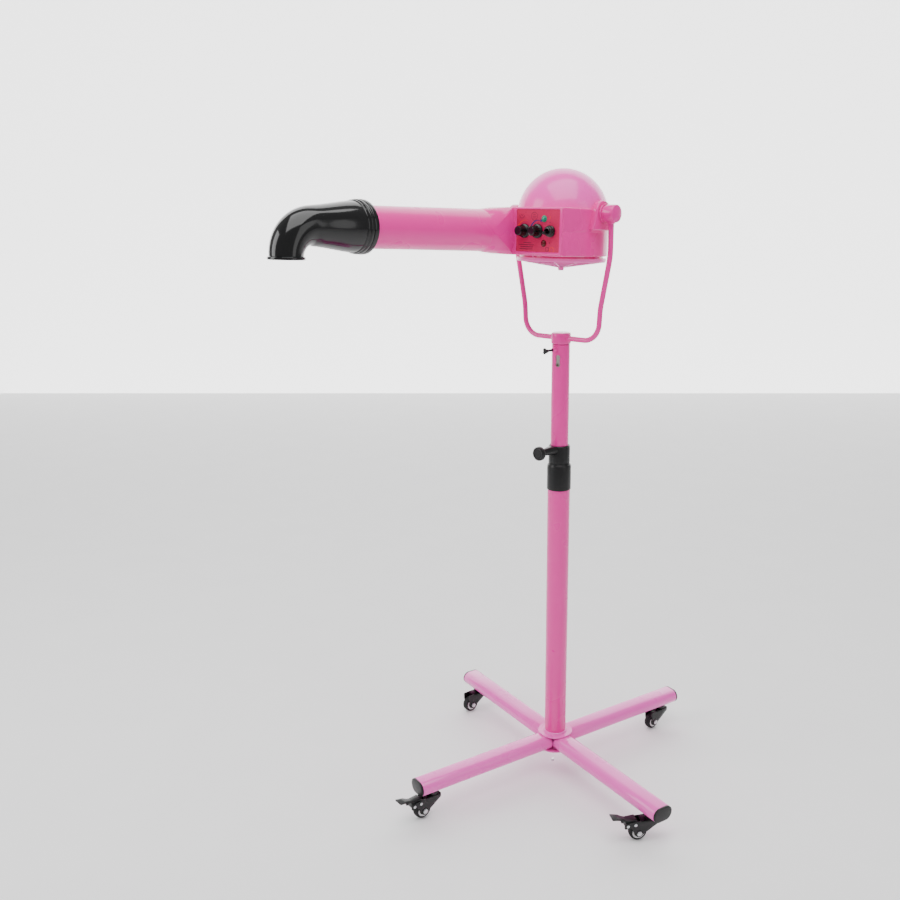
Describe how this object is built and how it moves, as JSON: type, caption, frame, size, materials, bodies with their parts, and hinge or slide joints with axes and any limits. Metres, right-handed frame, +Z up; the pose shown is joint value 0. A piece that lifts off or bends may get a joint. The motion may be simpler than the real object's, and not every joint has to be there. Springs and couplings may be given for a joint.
{
  "type": "hood hair dryer",
  "caption": "Stand hair dryer: blower head with dome and long air duct ending in an elbow nozzle, tilting in a yoke on a telescopic mast with a castor cross base.",
  "frame": {"origin": "on the floor under the mast's axis", "axes": "+Z up along the mast, the duct points to -Y, the head's tilt axis lies along X"},
  "size_m": [0.7476, 1.0449, 1.3695],
  "materials": {
    "light_pink_paint": "gloss powder coat",
    "pink_paint": "gloss powder coat",
    "pink_plastic": "glossy moulded plastic",
    "panel_pink": "satin label face",
    "gloss_black": "high gloss",
    "satin_black": "satin",
    "black_metal": "satin enamel",
    "castor_rubber": "matt",
    "zinc": "zinc plated",
    "cast_alloy": "satin",
    "mica": "matt board",
    "green_lens": "moulded lens",
    "red_lens": "moulded lens",
    "white_nylon": "natural"
  },
  "bodies": {
    "stand_base": {"base_top_flange": "light_pink_paint", "base_bottom_plate": "light_pink_paint", "base_bolts": "zinc", "castor_stems": "zinc", "lower_tube": "pink_paint", "mast_sleeve": "satin_black", "mast_ring": "satin_black", "guide_bush": "white_nylon", "leg_front": "light_pink_paint", "leg_right": "light_pink_paint", "leg_back": "light_pink_paint", "leg_left": "light_pink_paint", "leg_cap_front": "satin_black", "leg_cap_right": "satin_black", "leg_cap_back": "satin_black", "leg_cap_left": "satin_black"},
    "castor_front": {"castor_fork_front": "black_metal", "castor_axle_front": "zinc"},
    "wheel_front": {"castor_wheel_front": "castor_rubber"},
    "pedal_front": {"brake_pedal_front": "satin_black"},
    "castor_right": {"castor_fork_right": "black_metal", "castor_axle_right": "zinc"},
    "wheel_right": {"castor_wheel_right": "castor_rubber"},
    "pedal_right": {"brake_pedal_right": "satin_black"},
    "castor_back": {"castor_fork_back": "black_metal", "castor_axle_back": "zinc"},
    "wheel_back": {"castor_wheel_back": "castor_rubber"},
    "castor_left": {"castor_fork_left": "black_metal", "castor_axle_left": "zinc"},
    "wheel_left": {"castor_wheel_left": "castor_rubber"},
    "height_knob": {"height_knob": "satin_black"},
    "mast": {"upper_tube": "pink_paint", "lock_boss": "pink_paint", "spindle_bush": "zinc", "bush_screw": "zinc"},
    "lock_screw": {"lock_screw": "satin_black"},
    "yoke": {"yoke_hub": "pink_paint", "yoke_rod_left": "pink_paint", "yoke_rod_right": "pink_paint", "pivot_sleeve_left": "pink_paint", "pivot_sleeve_right": "pink_paint"},
    "head": {"dome_cover": "pink_plastic", "housing_upper": "pink_plastic", "housing_lower": "pink_plastic", "inlet_grille": "pink_paint", "duct_tube": "pink_plastic", "heater_core": "mica", "motor": "cast_alloy", "control_panel": "panel_pink", "pivot_bolts": "zinc", "pivot_washers": "pink_paint", "run_lamp": "green_lens", "heat_lamp": "red_lens", "toggle_boot": "satin_black"},
    "impeller": {"impeller": "cast_alloy"},
    "heat_knob": {"heat_knob": "satin_black"},
    "airflow_knob": {"airflow_knob": "satin_black"},
    "toggle_lever": {"toggle_lever": "zinc"},
    "elbow": {"elbow": "gloss_black", "elbow_collar": "gloss_black"}
  },
  "joints": [
    {"name": "castor_swivel_front", "type": "hinge", "parent": "stand_base", "child": "castor_front", "pos_m": [-0.08249, -0.33087, 0], "axis": [0, 0, 1], "continuous": true},
    {"name": "wheel_spin_front", "type": "hinge", "parent": "castor_front", "child": "wheel_front", "pos_m": [-0.08703, -0.35951, 0.02], "axis": [0.9877, -0.1564, 0], "continuous": true},
    {"name": "brake_pedal_front", "type": "hinge", "parent": "castor_front", "child": "pedal_front", "pos_m": [-0.0911, -0.38519, 0.041], "axis": [0.9877, -0.1564, 0], "range_deg": [0, 12]},
    {"name": "castor_swivel_right", "type": "hinge", "parent": "stand_base", "child": "castor_right", "pos_m": [0.33087, -0.08249, 0], "axis": [0, 0, 1], "continuous": true},
    {"name": "wheel_spin_right", "type": "hinge", "parent": "castor_right", "child": "wheel_right", "pos_m": [0.31465, -0.10654, 0.02], "axis": [0.829, -0.5592, 0], "continuous": true},
    {"name": "brake_pedal_right", "type": "hinge", "parent": "castor_right", "child": "pedal_right", "pos_m": [0.30012, -0.12809, 0.041], "axis": [0.829, -0.5592, 0], "range_deg": [0, 12]},
    {"name": "castor_swivel_back", "type": "hinge", "parent": "stand_base", "child": "castor_back", "pos_m": [0.08249, 0.33087, 0], "axis": [0, 0, 1], "continuous": true},
    {"name": "wheel_spin_back", "type": "hinge", "parent": "castor_back", "child": "wheel_back", "pos_m": [0.07796, 0.30223, 0.02], "axis": [0.9877, -0.1564, 0], "continuous": true},
    {"name": "castor_swivel_left", "type": "hinge", "parent": "stand_base", "child": "castor_left", "pos_m": [-0.33087, 0.08249, 0], "axis": [0, 0, 1], "continuous": true},
    {"name": "wheel_spin_left", "type": "hinge", "parent": "castor_left", "child": "wheel_left", "pos_m": [-0.33541, 0.05385, 0.02], "axis": [0.9877, -0.1564, 0], "continuous": true},
    {"name": "height_knob_turn", "type": "hinge", "parent": "stand_base", "child": "height_knob", "pos_m": [0, -0.063, 0.79], "axis": [0, -1, 0], "range_deg": [0, 360]},
    {"name": "mast_slide", "type": "slide", "parent": "stand_base", "child": "mast", "axis": [0, 0, 1], "range_m": [-0.18, 0.3]},
    {"name": "lock_screw_turn", "type": "hinge", "parent": "mast", "child": "lock_screw", "pos_m": [0, -0.05, 1.007], "axis": [0, -1, 0], "range_deg": [0, 360]},
    {"name": "head_swivel", "type": "hinge", "parent": "mast", "child": "yoke", "pos_m": [0, 0, 1.017], "axis": [0, 0, 1], "continuous": true},
    {"name": "head_tilt", "type": "hinge", "parent": "yoke", "child": "head", "pos_m": [0, 0, 1.2825], "axis": [1, 0, 0], "range_deg": [-60, 50]},
    {"name": "impeller_spin", "type": "hinge", "parent": "head", "child": "impeller", "pos_m": [0, -0.0011, 1.25252], "axis": [0, 0.0366, 0.9993], "continuous": true},
    {"name": "heat_knob_turn", "type": "hinge", "parent": "head", "child": "heat_knob", "pos_m": [0.0005, -0.11726, 1.25028], "axis": [0, 0.9993, -0.0366], "range_deg": [-180, 90]},
    {"name": "airflow_knob_turn", "type": "hinge", "parent": "head", "child": "airflow_knob", "pos_m": [0.0333, -0.11726, 1.25028], "axis": [0, 0.9993, -0.0366], "range_deg": [-180, 90]},
    {"name": "toggle_rock", "type": "hinge", "parent": "head", "child": "toggle_lever", "pos_m": [0.0658, -0.11726, 1.25028], "axis": [1, 0, 0], "range_deg": [-16, 0]},
    {"name": "elbow_turn", "type": "hinge", "parent": "head", "child": "elbow", "pos_m": [-0.06275, -0.47705, 1.26247], "axis": [0, -0.9993, 0.0366], "continuous": true}
  ]
}
